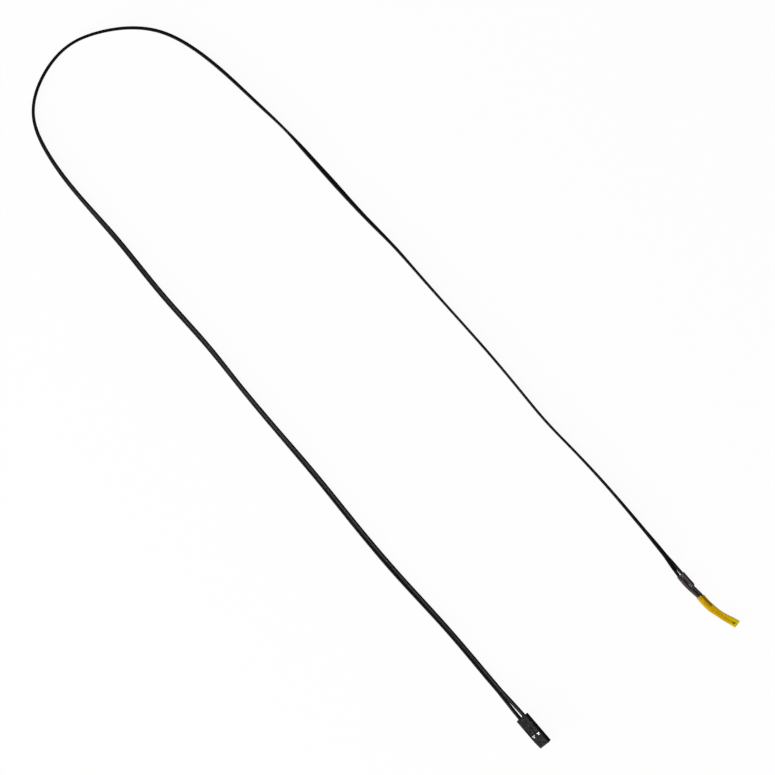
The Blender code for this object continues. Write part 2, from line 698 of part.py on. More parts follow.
def make_terminal(number, offset, frame):
    """One folded strip: insulation crimp, conductor crimp, channel and contact box."""
    half_strip = STRIP_THICKNESS / 2
    grip_insulation = CORE_DIAMETER / 2 + FIT + half_strip
    grip_conductor = CONDUCTOR_DIAMETER / 2 + FIT + half_strip
    half_box = TERMINAL_BOX / 2 - half_strip
    waist = (PIN_WIDTH - SPRING_SQUEEZE) / 2 + half_strip
    insulation_end = INSULATION_CRIMP_START + INSULATION_CRIMP_LENGTH
    conductor_end = CONDUCTOR_CRIMP_START + CONDUCTOR_CRIMP_LENGTH
    quarter = TERMINAL_BOX_LENGTH / 4
    channel_rear = half_box * CHANNEL_REAR_SHARE
    stations = (
        (INSULATION_CRIMP_START, barrel(grip_insulation, CRIMP_OPENING)),
        (insulation_end - CRIMP_RAMP, barrel(grip_insulation, CRIMP_OPENING)),
        (insulation_end, barrel(grip_insulation, CRIMP_MOUTH_OPENING)),
        (CONDUCTOR_CRIMP_START, barrel(grip_conductor, CRIMP_MOUTH_OPENING)),
        (CONDUCTOR_CRIMP_START + CRIMP_RAMP, barrel(grip_conductor, CRIMP_OPENING)),
        (conductor_end - CRIMP_RAMP, barrel(grip_conductor, CRIMP_OPENING)),
        (conductor_end, barrel(grip_conductor, CRIMP_MOUTH_OPENING)),
        (conductor_end + 2 * CRIMP_RAMP, channel(channel_rear, -half_box, CHANNEL_HEIGHT)),
        (BOX_REAR - CRIMP_RAMP, channel(half_box, -half_box, CHANNEL_HEIGHT)),
        (BOX_REAR, contact_box(half_box, half_box)),
        (BOX_REAR + quarter, contact_box(half_box, half_box)),
        (BOX_REAR + 2 * quarter, contact_box(half_box, waist)),
        (BOX_REAR + 3 * quarter, contact_box(half_box, half_box)),
        (BOX_FRONT, contact_box(half_box, half_box)),
    )
    rings = [[(x, offset + y, z) for y, z in section] for x, section in stations]
    terminal = add(f"crimp_terminal_{number}", skin(rings, strip=True), TINNED_METAL, frame)
    fold = terminal.modifiers.new("strip_thickness", "SOLIDIFY")
    fold.thickness = STRIP_THICKNESS
    fold.offset = 0.0
    fold.use_even_offset = True

    strands = []
    for x in stations_between(CORE_INSERT + FIT, CONDUCTOR_INSERT, STATION_STEP):
        section = conductor_section(2 * math.pi * x / STRAND_LAY)
        strands.append([(x, offset + y, z) for y, z in section])
    add(f"crimp_conductor_{number}", skin(strands), COPPER, frame)


def lead_point(station, side):
    """World point on one core of the lead, between the shrink tubes and the housing."""
    roll = ease_between(ROLL_KEYS, station)
    half = ease_between((
        (SHRINK_REAR, LANE),
        (SHRINK_REAR + SENSOR_FORK_LENGTH, CORE_SPACING / 2),
        (LEAD_END - CONNECTOR_FORK_LENGTH, CORE_SPACING / 2),
        (LEAD_END, PITCH / 2),
    ), station)
    lying = CORE_DIAMETER / 2 + half * math.sin(roll)
    housing_rise = HOUSING_CENTRE_HEIGHT - CORE_DIAMETER / 2 - PITCH / 2 * math.sin(HOUSING_ROLL)
    rise = ease_between((
        (SHRINK_REAR, SHRINK_MIDDLE - CORE_DIAMETER / 2),
        (SHRINK_REAR + SENSOR_RISE_LENGTH, 0.0),
        (LEAD_END - CONNECTOR_RISE_LENGTH, 0.0),
        (LEAD_END, housing_rise),
    ), station)
    height = lying + rise + side * half * math.sin(roll)
    return on_line(station, side * half * math.cos(roll), height)


def make_core(number, side, start, frame):
    """One insulated core, from its joint to the inside of its crimp."""
    points = [on_line(s, side * LANE, SHRINK_MIDDLE)
              for s in stations_between(start, SHRINK_REAR - CORD_END_STEP, CORD_END_STEP)]
    near = SHRINK_REAR + SENSOR_RISE_LENGTH
    far = LEAD_END - CONNECTOR_FORK_LENGTH
    points += [lead_point(s, side) for s in stations_between(SHRINK_REAR, near, CORD_END_STEP)]
    gap = (far - near) / CORD_POINTS_BETWEEN
    points += [lead_point(near + gap * i, side) for i in range(1, CORD_POINTS_BETWEEN)]
    points += [lead_point(s, side) for s in stations_between(far, LEAD_END, CORD_END_STEP)]
    points.append(frame.matrix_world @ Vector((CORE_INSERT, side * PITCH / 2, 0.0)))
    curve = bpy.data.curves.new(f"lead_core_{number}", "CURVE")
    curve.dimensions = "3D"
    curve.bevel_depth = CORE_DIAMETER / 2
    curve.bevel_resolution = 2
    curve.use_fill_caps = True
    curve.render_resolution_u = 0
    spline = curve.splines.new("POLY")
    spline.points.add(len(points) - 1)
    for target, point in zip(spline.points, points):
        target.co = (*point, 1.0)
    link(f"lead_core_{number}", curve, BLACK_LEAD)


def main():
    clear_scene()
    make_sleeve()
    make_bead()
    make_sensor_wires()
    make_wire_tube()
    left_core_end = make_splice("left", 1, LEFT_SOLDER_FRONT)
    right_core_end = make_splice("right", -1, RIGHT_SOLDER_FRONT)
    make_shrink_tube("left", 1, LEFT_SHRINK_FRONT)
    make_shrink_tube("right", -1, RIGHT_SHRINK_FRONT)
    frame = make_connector_frame()
    bpy.context.view_layer.update()
    make_housing(frame)
    for number, offset in enumerate(contact_offsets(), start=1):
        make_terminal(number, offset, frame)
    make_core(1, 1, left_core_end, frame)
    make_core(2, -1, right_core_end, frame)


main()
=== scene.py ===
"""Looks of a film thermistor on a twin lead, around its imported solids.

The sensor lies on a white floor under soft light and is seen from straight above.
The pieces that show from close by are made again here with finer meshes, along the
same centreline as the solids. Metres, +Z up. A station is the distance along the
centreline from the open tip of the sleeve, and an offset is sideways from it, to the
left of someone who walks from the tip to the connector.
"""

import math

import bmesh
import bpy
import numpy as np
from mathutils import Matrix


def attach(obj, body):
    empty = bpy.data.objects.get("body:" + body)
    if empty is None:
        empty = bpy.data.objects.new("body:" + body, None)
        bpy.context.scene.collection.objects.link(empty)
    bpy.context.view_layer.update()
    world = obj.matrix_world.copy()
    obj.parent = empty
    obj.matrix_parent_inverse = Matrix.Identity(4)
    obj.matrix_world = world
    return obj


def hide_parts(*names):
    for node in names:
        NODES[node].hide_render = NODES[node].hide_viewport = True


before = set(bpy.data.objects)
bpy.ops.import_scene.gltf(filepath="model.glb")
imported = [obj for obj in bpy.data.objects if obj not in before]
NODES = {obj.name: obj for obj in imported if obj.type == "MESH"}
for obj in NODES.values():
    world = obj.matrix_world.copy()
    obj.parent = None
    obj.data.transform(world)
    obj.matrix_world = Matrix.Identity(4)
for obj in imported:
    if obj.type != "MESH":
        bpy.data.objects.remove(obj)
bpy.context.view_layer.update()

# Picture: the floor's width that it shows, its middle on the floor and its turn
VIEW_WIDTH = 0.30535
VIEW_MIDDLE = (-0.1503, -0.0192)
VIEW_TURN = math.radians(41)
CAMERA_HEIGHT = 1.5
FILM_WIDTH_MM = 36.0

# Light: the sky's level, and the share of the floor's white that no shadow darkens
SKY_LEVEL = 0.16
FLOOR_WHITENESS = 0.95
FLOOR_COLOUR = (0.85, 0.85, 0.85, 1.0)
FLOOR_ROUGHNESS = 0.9
FLOOR_REACH = 4.0
WHITE = (1.0, 1.0, 1.0, 1.0)

# Lamps: name, place, width in metres and power in watts
LAMPS = (
    ("key", (-0.39, -1.14, 1.35), 1.2, 23.0),
    ("edge", (-0.385, -1.60, 0.38), 0.45, 34.0),
    ("fill", (0.5, 0.9, 1.5), 1.2, 1.0),
)

# Centreline of the sensing end, from the open tip back to the lead
SENSOR_LINE = (
    (0.01508, 0.00086),
    (0.01263, 0.00039),
    (0.01041, -0.00012),
    (0.00772, -0.00060),
    (0.00491, -0.00092),
    (0.00220, -0.00105),
    (-0.00050, -0.00088),
    (-0.00322, -0.00054),
    (-0.00700, -0.00010),
    (-0.01122, 0.00030),
)

# Route of the lead after that: x, y and how far it is rolled on its side, in degrees
LEAD_ROUTE = (
    (-0.0152, 0.0009, 0),
    (-0.0255, 0.0028, 60),
    (-0.0393, 0.0051, 75),
    (-0.0600, 0.0082, 83),
    (-0.0809, 0.0104, 88),
    (-0.0949, 0.0117, 90),
    (-0.1087, 0.0139, 90),
    (-0.1294, 0.0172, 87),
    (-0.1503, 0.0199, 88),
    (-0.1711, 0.0226, 85),
    (-0.1850, 0.0244, 79),
    (-0.1990, 0.0255, 69),
    (-0.2198, 0.0278, 53),
    (-0.2337, 0.0295, 63),
    (-0.2477, 0.0310, 85),
    (-0.2617, 0.0316, 77),
    (-0.2826, 0.0322, 72),
    (-0.2966, 0.0313, 73),
    (-0.3102, 0.0276, 74),
    (-0.3215, 0.0194, 76),
    (-0.3278, 0.0117, 77),
    (-0.3328, 0.0020, 78),
    (-0.3333, -0.0146, 74),
    (-0.3255, -0.0301, 77),
    (-0.3134, -0.0368, 68),
    (-0.2930, -0.0417, 60),
    (-0.2692, -0.0450, 43),
    (-0.2406, -0.0499, 40),
    (-0.2139, -0.0534, 43),
    (-0.1961, -0.0566, 50),
    (-0.1754, -0.0600, 42),
    (-0.1477, -0.0642, 28),
    (-0.1241, -0.0684, 21),
    (-0.0994, -0.0722, 9),
    (-0.0686, -0.0758, 25),
    (-0.0439, -0.0796, 12),
    (-0.0331, -0.0812, 24),
    (-0.02531, -0.08235, 28),
)
SPLINE_STEPS = 60

# Sizes that the solids have too
SLEEVE_LENGTH = 0.0187
SLEEVE_WIDTH = 0.0032
SLEEVE_WAIST_WIDTH = 0.0028
SLEEVE_TIP_WIDTH = 0.00326
SLEEVE_HEIGHT = 0.00122
SLEEVE_TIP_HEIGHT = 0.00075
SLEEVE_WALL = 0.00008
SLEEVE_FLARE_LENGTH = 0.0085
SLEEVE_PRESSED_LENGTH = 0.00095
SLEEVE_TIP_SKEW = 0.00034
SLEEVE_REAR_SKEW = -0.00055
BEAD_DIAMETER = 0.0010
BEAD_LENGTH = 0.0013
BEAD_INSET = 0.0016
BEAD_OFFSET = 0.00028
WIRE_SPREAD = 0.000235
WIRE_END_INSET = 0.00132
SENSOR_WIRE_DIAMETER = 0.00025
WIRE_TUBE_WALL = 0.00018
WIRE_TUBE_FRONT = 0.0127
SOLDER_WIRE_OFFSET = 0.00027
SOLDER_WIRE_DEPTH = 0.00217
SHRINK_BORE = 0.00114
SHRINK_DIAMETER = 0.00174
SHRINK_MIDDLE = SHRINK_DIAMETER / 2
SHRINK_SLANT = -SLEEVE_REAR_SKEW / (SLEEVE_WIDTH / 2)
SHRINK_SLANT_LENGTH = 0.0020
LEFT_SHRINK_FRONT = 0.01897
RIGHT_SHRINK_FRONT = 0.02347
SHRINK_REAR = 0.03027
LANE = 0.0009
LEFT_FRONT_LANE = 0.00055
WIRE_TUBE_REAR = RIGHT_SHRINK_FRONT + 0.0008
LEFT_SOLDER_FRONT = LEFT_SHRINK_FRONT + 0.0007
RIGHT_SOLDER_FRONT = WIRE_TUBE_REAR + 0.00006
CORE_FROM_SOLDER = 0.0039
CORE_DIAMETER = 0.00105
CORE_SPACING = 0.00160
CORE_INSERT = 0.0030
PITCH = 0.00254
SENSOR_FORK_LENGTH = 0.0034
CONNECTOR_FORK_LENGTH = 0.0140
SENSOR_RISE_LENGTH = 0.010
CONNECTOR_RISE_LENGTH = 0.030
HOUSING_ROLL = math.radians(28)
HOUSING_CENTRE_HEIGHT = 0.002314

# Sizes of the scene alone
RIGHT_FRONT_LANE = 0.00074
WIRE_TUBE_INSET = 0.00022
TUBE_HOLD_LENGTH = 0.0003
SHRINK_LIP_SHARE = 0.07
SHRINK_LIP_LENGTH = 0.00012
WEB_THICKNESS = 0.00022
WEB_TRIM = 0.0004
SPLIT_SPREAD = 1.20
SPLIT_SPREAD_START = 0.0100
SPLIT_SPREAD_END = 0.0009

# Outer radii of the black tubes: station and radius
LEFT_SHRINK_SHAPE = ((LEFT_SHRINK_FRONT, 0.00081), (0.0225, 0.00082), (0.0240, 0.00087),
                     (0.0265, 0.00092), (0.0302, 0.00088))
RIGHT_SHRINK_SHAPE = ((RIGHT_SHRINK_FRONT, 0.00078), (0.0243, 0.00086), (0.0260, 0.00089),
                      (0.0302, 0.00088))
WIRE_TUBE_SHAPE = ((WIRE_TUBE_FRONT, 0.00052), (0.0200, 0.00053), (0.0228, 0.00060),
                   (RIGHT_SHRINK_FRONT, 0.00059), (WIRE_TUBE_REAR, 0.00055))

# Waves in the film: height, then radians per metre along and across the line, and the start
WAVE_HEIGHT = 0.000035
WAVES = ((2100, 900, 0.0), (3700, -1500, 1.3))

# Share of each colour that passes one side of the film
FILM_AT_TIP = (0.93, 0.94, 0.10)
FILM_AT_REAR = (0.95, 0.87, 0.28)
# The streak colours below are also painted down the film's middle as shade, where the wires lie under
# it
FILM_STREAK_AND_SHADE = (0.89, 0.74, 0.17)
FILM_STREAK_AND_SHADE_AT_TIP = (0.91, 0.85, 0.08)
FILM_AT_SIDE = (0.70, 0.58, 0.20)
FILM_SIDE_START = 0.15
FILM_SIDE_END = 0.9

# Streaks, haze and gloss of the film
FILM_STREAK_SCALE = 1700.0
FILM_STRETCH = 0.05
FILM_STREAK_SHARE = 0.9
# Painted shade down the film's middle: the share of the streak colour there, and its reach out from the
# middle
FILM_MIDDLE_SHADE_SHARE = 0.6
FILM_MIDDLE_SHADE_REACH = SLEEVE_WIDTH / 3
FILM_HAZE_DARK = (0.64, 0.41, 0.003)
FILM_HAZE_LIGHT = (0.92, 0.64, 0.006)
FILM_HAZE_ROUGHNESS = 0.45
FILM_HAZE_LEAST = 0.14
FILM_HAZE_MOST = 0.22
FILM_GLOSS_ROUGHNESS = 0.2
FILM_GLOSS_IOR = 1.15
FILM_RELIEF_SCALE = 1500.0
FILM_RELIEF_DEPTH = 0.000002

# Finishes: darkest and lightest colour, least and most roughness, grain scale, relief in metres
FINISHES = {
    "black_insulation": ((0.0006, 0.0006, 0.0007), (0.0016, 0.0015, 0.0016), 0.24, 0.34, 9000.0,
                         0.000002),
    "black_housing": ((0.0040, 0.0040, 0.0040), (0.0300, 0.0286, 0.0286), 0.4, 0.6, 9000.0,
                      0.000008),
    "black_shrink": ((0.018, 0.0140, 0.0145), (0.056, 0.046, 0.046), 0.3, 0.45, 7000.0, 0.00001),
    "bright_tin": ((0.16, 0.157, 0.155), (0.52, 0.51, 0.50), 0.24, 0.42, 8000.0, 0.000002),
    "solder": ((0.50, 0.50, 0.50), (0.70, 0.70, 0.70), 0.2, 0.4, 6000.0, 0.000006),
    "copper_strands": ((0.62, 0.30, 0.16), (0.85, 0.46, 0.28), 0.2, 0.4, 9000.0, 0.000004),
    "dull_copper": ((0.10, 0.045, 0.025), (0.24, 0.11, 0.06), 0.35, 0.55, 9000.0, 0.000004),
    "chip_ceramic": ((0.03, 0.028, 0.026), (0.07, 0.065, 0.06), 0.6, 0.8, 9000.0, 0.000002),
    "dark_glass": ((0.050, 0.022, 0.005), (0.100, 0.045, 0.010), 0.06, 0.14, 4000.0, 0.000003),
}
METALS = ("bright_tin", "solder", "copper_strands", "dull_copper")

# Share of light that these mirror at every angle, instead of more at their edges
SHINE = {"black_insulation": 0.0048, "black_housing": 0.0005, "black_shrink": 0.005}

# Scale along the line of the grain that is drawn out
GRAIN_STRETCH = {"black_insulation": 0.08, "black_shrink": 0.2}

# Noise: how many times larger the coarse grain is, its detail and the range that is spread out
COARSE_TIMES = 8
NOISE_DETAIL = 3.0
NOISE_LOW = 0.3
NOISE_HIGH = 0.7

# Mesh fineness
SLEEVE_SIDES = 64
ROUND_SIDES = 32
WIRE_SIDES = 16
CORE_SIDES = 24
MERGE_DISTANCE = 0.0000001
SHORT_STEP = 0.00025
FORK_STEP = 0.0005
LEAD_STEP = 0.001
SHARP_ANGLE = math.radians(50)


def natural_spline(points, steps):
    """Points on a natural cubic curve through the given ones, with steps to each span."""
    knots = np.array(points, float)
    count = len(knots)
    spans = np.linalg.norm(np.diff(knots, axis=0), axis=1)
    matrix = np.eye(count)
    right = np.zeros_like(knots)
    slopes = np.diff(knots, axis=0) / spans[:, None]
    for i in range(1, count - 1):
        matrix[i, i - 1:i + 2] = spans[i - 1], 2 * (spans[i - 1] + spans[i]), spans[i]
        right[i] = 6 * (slopes[i] - slopes[i - 1])
    bends = np.linalg.solve(matrix, right)
    curve = [knots[0]]
    for i in range(count - 1):
        for step in range(1, steps + 1):
            t = step / steps
            u = 1 - t
            sag = (u ** 3 - u) * bends[i] + (t ** 3 - t) * bends[i + 1]
            curve.append(u * knots[i] + t * knots[i + 1] + spans[i] ** 2 / 6 * sag)
    return np.array(curve)


CURVE = natural_spline(SENSOR_LINE + tuple(p[:2] for p in LEAD_ROUTE), SPLINE_STEPS)
STATIONS = np.concatenate(([0.0], np.cumsum(np.linalg.norm(np.diff(CURVE, axis=0), axis=1))))
HEADINGS = np.unwrap(np.arctan2(*np.gradient(CURVE, axis=0).T[::-1]))
LEAD_END = STATIONS[-1]
ROLL_KEYS = [
    (station, math.radians(point[2]))
    for station, point in zip(STATIONS[::SPLINE_STEPS][len(SENSOR_LINE):], LEAD_ROUTE)
]


def eased(keys, places):
    """Values at places among (place, value) keys, eased from each key to the next."""
    marks = np.array([key[0] for key in keys])
    values = np.array([key[1] for key in keys])
    places = np.clip(places, marks[0], marks[-1])
    span = np.clip(np.searchsorted(marks, places, side="right") - 1, 0, len(marks) - 2)
    t = (places - marks[span]) / (marks[span + 1] - marks[span])
    return values[span] + (values[span + 1] - values[span]) * t * t * (3 - 2 * t)


def steps_between(start, end, step):
    return np.linspace(start, end, max(2, math.ceil((end - start) / step) + 1))


def on_line(stations, offsets, heights):
    """World points at stations, offsets to the left and heights."""
    stations, offsets, heights = np.broadcast_arrays(stations, offsets, heights)
    beyond = np.clip(stations - LEAD_END, 0.0, None)
    heading = np.interp(stations, STATIONS, HEADINGS)
    x = np.interp(stations, STATIONS, CURVE[:, 0]) + beyond * np.cos(heading)
    y = np.interp(stations, STATIONS, CURVE[:, 1]) + beyond * np.sin(heading)
    return np.stack((x - offsets * np.sin(heading), y + offsets * np.cos(heading), heights), -1)


def piece(name, points, faces, places, material, replaced):
    """Smooth mesh piece instead of solids. Places are its points on a straightened line."""
    mesh = bmesh.new()
    straight = mesh.verts.layers.float_vector.new("straight")
    corners = [mesh.verts.new(point) for point in points]
    for corner, place in zip(corners, places):
        corner[straight] = place
    for face in faces:
        mesh.faces.new([corners[i] for i in face])
    bmesh.ops.remove_doubles(mesh, verts=mesh.verts, dist=MERGE_DISTANCE)
    bmesh.ops.recalc_face_normals(mesh, faces=mesh.faces)
    data = bpy.data.meshes.new(name)
    mesh.to_mesh(data)
    mesh.free()
    data.shade_smooth()
    data.set_sharp_from_angle(angle=SHARP_ANGLE)
    data.materials.append(material)
    obj = bpy.data.objects.new(name, data)
    bpy.context.scene.collection.objects.link(obj)
    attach(obj, "root")
    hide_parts(*replaced)
    return obj


def row_faces(rows, around, loop):
    """Quads between rows of points, and round faces at both ends unless they close in a loop."""
    faces = []
    pairs = [(row, row + 1) for row in range(rows - 1)]
    if loop:
        pairs.append((rows - 1, 0))
    for low, high in pairs:
        for i in range(around):
            j = (i + 1) % around
            faces.append((low * around + i, low * around + j, high * around + j, high * around + i))
    if not loop:
        faces.append(tuple(reversed(range(around))))
        faces.append(tuple(range((rows - 1) * around, rows * around)))
    return faces


def swept(name, stations, sections, material, replaced, loop=False):
    """Piece through sections, which are rows of offsets and heights, one row to a station."""
    sections = np.asarray(sections)
    stations = np.broadcast_to(stations, sections.shape[:2])
    points = on_line(stations, sections[..., 0], sections[..., 1]).reshape(-1, 3)
    places = np.stack((sections[..., 0], sections[..., 1], stations), -1).reshape(-1, 3)
    faces = row_faces(len(sections), sections.shape[1], loop)
    return piece(name, points, faces, places, material, replaced)


def turns(sides):
    return 2 * math.pi * (np.arange(sides) + 0.5) / sides


def circles(offsets, heights, radii, sides):
    """One circle of offsets and heights to each station."""
    angles = turns(sides)
    offsets, heights, radii = np.broadcast_arrays(offsets, heights, radii)
    return np.stack((offsets[:, None] + radii[:, None] * np.cos(angles),
                     heights[:, None] + radii[:, None] * np.sin(angles)), -1)


def tube(name, stations, offsets, heights, outer, inner, material, replaced, slant=0.0):
    """Open tube between its outer and inner radii. Slant is its shift along the line for each
    metre sideways."""
    rows = []
    along = []
    offsets, slant, stations = np.broadcast_arrays(offsets, slant, stations)
    for radius in (outer, inner):
        ring = circles(offsets, heights, radius, ROUND_SIDES)
        rows.append(ring)
        along.append(stations[:, None] + slant[:, None] * (ring[..., 0] - offsets[:, None]))
    rows = np.concatenate((rows[0], rows[1][::-1]))
    along = np.concatenate((along[0], along[1][::-1]))
    return swept(name, along, rows, material, replaced, loop=True)


def sleeve_width(stations):
    return eased(((0.0, SLEEVE_TIP_WIDTH), (SLEEVE_FLARE_LENGTH, SLEEVE_WAIST_WIDTH),
                  (WIRE_TUBE_FRONT, SLEEVE_WIDTH)), stations)


def joint_lane(side, stations):
    """Offsets of a joint and its shrink tube, which leans inwards at its front."""
    if side > 0:
        return eased(((LEFT_SHRINK_FRONT, LEFT_FRONT_LANE), (RIGHT_SHRINK_FRONT, LANE)), stations)
    return -eased(((RIGHT_SHRINK_FRONT, RIGHT_FRONT_LANE), (WIRE_TUBE_REAR, LANE)), stations)


def tube_lane(stations):
    """Offsets and heights of the wire tube: in the sleeve's right side, against the left shrink
    tube, then in the right one."""
    leave = SLEEVE_LENGTH + SLEEVE_REAR_SKEW
    let_go = RIGHT_SHRINK_FRONT - TUBE_HOLD_LENGTH
    against = (joint_lane(1, stations) - eased(LEFT_SHRINK_SHAPE, stations)
               - eased(WIRE_TUBE_SHAPE, stations))
    share = eased(((leave, 0.0), (LEFT_SHRINK_FRONT, 1.0), (let_go, 1.0), (WIRE_TUBE_REAR, 0.0)),
                  stations)
    free = np.where(stations < let_go, (SLEEVE_HEIGHT - SLEEVE_WIDTH) / 2 + WIRE_TUBE_INSET,
                    joint_lane(-1, stations))
    heights = eased(((leave, SLEEVE_HEIGHT / 2), (RIGHT_SHRINK_FRONT, SHRINK_MIDDLE)), stations)
    return free + (against - free) * share, heights


def right_wire_lane(stations):
    """Offsets and heights of the wire that runs in the wire tube."""
    offset, height = tube_lane(stations)
    turn = eased(((WIRE_TUBE_REAR, 0.0), (RIGHT_SOLDER_FRONT, SOLDER_WIRE_OFFSET)), stations)
    keys = ((BEAD_INSET + BEAD_LENGTH, BEAD_OFFSET - WIRE_SPREAD),
            (WIRE_TUBE_FRONT, tube_lane(WIRE_TUBE_FRONT)[0]))
    before = stations < WIRE_TUBE_FRONT
    return np.where(before, eased(keys, stations), offset + turn), height


def left_wire_lane(stations):
    """Offsets and heights of the bare wire, which goes into the left shrink tube."""
    start = BEAD_OFFSET + WIRE_SPREAD
    keys = ((BEAD_INSET + BEAD_LENGTH, start), (WIRE_TUBE_FRONT, start / 2),
            (SLEEVE_LENGTH, start), (LEFT_SOLDER_FRONT, LEFT_FRONT_LANE + SOLDER_WIRE_OFFSET))
    heights = ((SLEEVE_LENGTH + SLEEVE_REAR_SKEW, SLEEVE_HEIGHT / 2),
               (LEFT_SOLDER_FRONT, SHRINK_MIDDLE))
    lean = joint_lane(1, stations) - LEFT_FRONT_LANE
    return eased(keys, stations) + lean, eased(heights, stations)


def texture_space(tree, stretch=None):
    """Places for a pattern: the object's own, or on the line with that scale along it."""
    if stretch is None:
        return tree.nodes.new("ShaderNodeTexCoord").outputs["Object"]
    source = tree.nodes.new("ShaderNodeAttribute")
    source.attribute_name = "straight"
    mapping = tree.nodes.new("ShaderNodeMapping")
    mapping.inputs["Scale"].default_value = (1.0, 1.0, stretch)
    tree.links.new(source.outputs["Vector"], mapping.inputs["Vector"])
    return mapping.outputs["Vector"]


def noise(tree, space, scale):
    node = tree.nodes.new("ShaderNodeTexNoise")
    node.inputs["Scale"].default_value = scale
    node.inputs["Detail"].default_value = NOISE_DETAIL
    tree.links.new(space, node.inputs["Vector"])
    return node.outputs["Fac"]


def between(tree, source, low, high, start=NOISE_LOW, end=NOISE_HIGH):
    """Number from low to high as the source goes from start to end."""
    node = tree.nodes.new("ShaderNodeMapRange")
    node.inputs["From Min"].default_value = start
    node.inputs["From Max"].default_value = end
    node.inputs["To Min"].default_value = low
    node.inputs["To Max"].default_value = high
    tree.links.new(source, node.inputs["Value"])
    return node.outputs["Result"]


def colours(tree, source, low, high, start=NOISE_LOW, end=NOISE_HIGH):
    """Colour from low to high as the source goes from start to end."""
    node = tree.nodes.new("ShaderNodeValToRGB")
    for stop, place, colour in zip(node.color_ramp.elements, (start, end), (low, high)):
        stop.position = place
        stop.color = (*colour, 1.0)
    tree.links.new(source, node.inputs["Fac"])
    return node.outputs["Color"]


def relief(tree, source, depth):
    node = tree.nodes.new("ShaderNodeBump")
    node.inputs["Distance"].default_value = depth
    tree.links.new(source, node.inputs["Height"])
    return node.outputs["Normal"]


def surface(name):
    """Material whose colour, roughness and relief follow a noise."""
    dark, light, smooth, rough, scale, depth = FINISHES[name]
    made = bpy.data.materials.new(name)
    made.use_nodes = True
    tree = made.node_tree
    shader = tree.nodes["Principled BSDF"]
    space = texture_space(tree, GRAIN_STRETCH.get(name))
    coarse = noise(tree, space, scale / COARSE_TIMES)
    fine = noise(tree, space, scale)
    tree.links.new(colours(tree, coarse, dark, light), shader.inputs["Base Color"])
    roughness = between(tree, fine, smooth, rough)
    normal = relief(tree, fine, depth)
    tree.links.new(roughness, shader.inputs["Roughness"])
    tree.links.new(normal, shader.inputs["Normal"])
    shader.inputs["Metallic"].default_value = float(name in METALS)
    if name not in SHINE:
        return made
    shader.inputs["Specular IOR Level"].default_value = 0.0
    share = SHINE[name]
    mirror = tree.nodes.new("ShaderNodeBsdfGlossy")
    mirror.inputs["Color"].default_value = (share, share, share, 1.0)
    tree.links.new(roughness, mirror.inputs["Roughness"])
    tree.links.new(normal, mirror.inputs["Normal"])
    both = tree.nodes.new("ShaderNodeAddShader")
    tree.links.new(shader.outputs["BSDF"], both.inputs[0])
    tree.links.new(mirror.outputs["BSDF"], both.inputs[1])
    tree.links.new(both.outputs["Shader"], tree.nodes["Material Output"].inputs["Surface"])
    return made


def mixed(tree, share, first, second):
    """Colour between two colours or colour outputs, by the share of the second."""
    node = tree.nodes.new("ShaderNodeMix")
    node.data_type = "RGBA"
    tree.links.new(share, node.inputs["Factor"])
    for name, colour in (("A", first), ("B", second)):
        socket = next(s for s in node.inputs if s.name == name and s.type == "RGBA")
        if isinstance(colour, tuple):
            socket.default_value = (*colour, 1.0)
        else:
            tree.links.new(colour, socket)
    return next(s for s in node.outputs if s.type == "RGBA")


